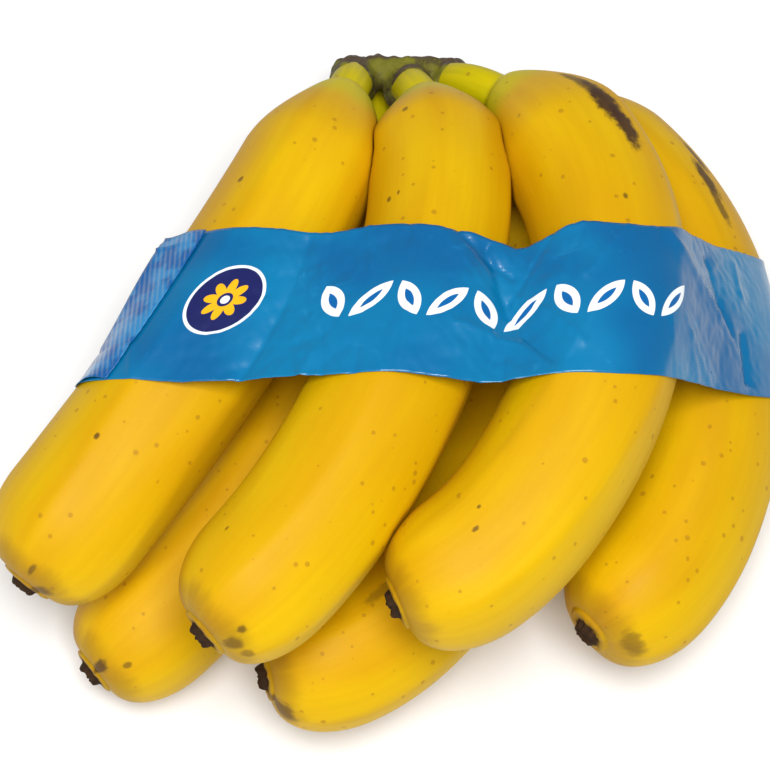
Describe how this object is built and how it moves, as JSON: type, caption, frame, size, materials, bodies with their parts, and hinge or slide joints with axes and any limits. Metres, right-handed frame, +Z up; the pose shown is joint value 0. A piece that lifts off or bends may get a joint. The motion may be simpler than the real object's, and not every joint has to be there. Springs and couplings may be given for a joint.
{
  "type": "hand of bananas with a film band",
  "caption": "Hand of ripe bananas joined at a cut crown, lying on its lower row, with a blue plastic film band stretched round the fruit.",
  "frame": {"origin": "on the surface the hand lies on, under the middle of its box", "axes": "+Z up, +Y towards the crown, the fruit tips towards -Y and curving to -X"},
  "size_m": [0.1893, 0.1788, 0.0849],
  "materials": {
    "banana_peel": "satin waxy peel",
    "crown_tissue": "matte fibrous green to brown",
    "printed_film": "glossy printed polyethylene film"
  },
  "bodies": {
    "root": {"banana_upper_left": "banana_peel", "banana_upper_middle": "banana_peel", "banana_upper_right": "banana_peel", "banana_lower_right": "banana_peel", "banana_lower_left": "banana_peel", "banana_lower_middle": "banana_peel", "crown": "crown_tissue", "film_band": "printed_film"}
  },
  "joints": []
}
